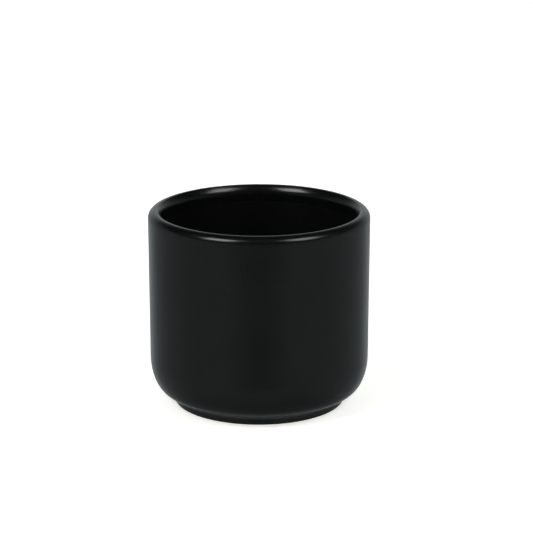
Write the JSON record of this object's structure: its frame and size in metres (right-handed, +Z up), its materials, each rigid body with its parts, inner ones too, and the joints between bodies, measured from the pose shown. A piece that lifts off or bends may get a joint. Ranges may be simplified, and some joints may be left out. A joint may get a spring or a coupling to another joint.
{
  "type": "candle vessel",
  "caption": "Straight round ceramic cup with a rounded rim, curved lower edge and low foot ring, satin-matt black glaze inside and out, for a poured candle.",
  "frame": {"origin": "centre of the foot ring on the plane the jar stands on", "axes": "+Z up along the jar's axis; the jar is round, so +X and +Y are free"},
  "size_m": [0.08, 0.08, 0.0713],
  "materials": {
    "bare_stoneware": "fired, unglazed, fine grained",
    "outer_glaze": "satin-matt black glaze",
    "inner_glaze": "satin-matt black liner glaze",
    "base_glaze": "satin-matt black glaze, slightly pooled"
  },
  "bodies": {
    "root": {"stoneware_body": "bare_stoneware", "outer_glaze": "outer_glaze", "inner_glaze": "inner_glaze", "base_glaze": "base_glaze"}
  },
  "joints": []
}
